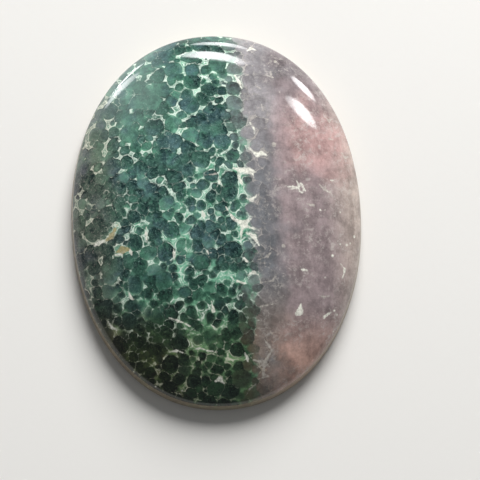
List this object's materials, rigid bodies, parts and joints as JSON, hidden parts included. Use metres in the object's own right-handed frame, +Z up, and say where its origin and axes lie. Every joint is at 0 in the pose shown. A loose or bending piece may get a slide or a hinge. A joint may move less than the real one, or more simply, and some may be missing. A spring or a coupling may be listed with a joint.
{
  "type": "grape chalcedony cabochon",
  "caption": "Polished oval cabochon of grape chalcedony: low dome, leaning girdle wall, bevelled flat back; packed green orbs on one side, clouded mauve on the other.",
  "frame": {"origin": "middle of the flat back, which the stone rests on", "axes": "+Z up through the crown of the dome, +Y along the length of the oval, +X towards the mauve side"},
  "size_m": [0.032, 0.042, 0.007],
  "materials": {
    "grape_chalcedony": "polished"
  },
  "bodies": {
    "root": {"cabochon": "grape_chalcedony"}
  },
  "joints": []
}
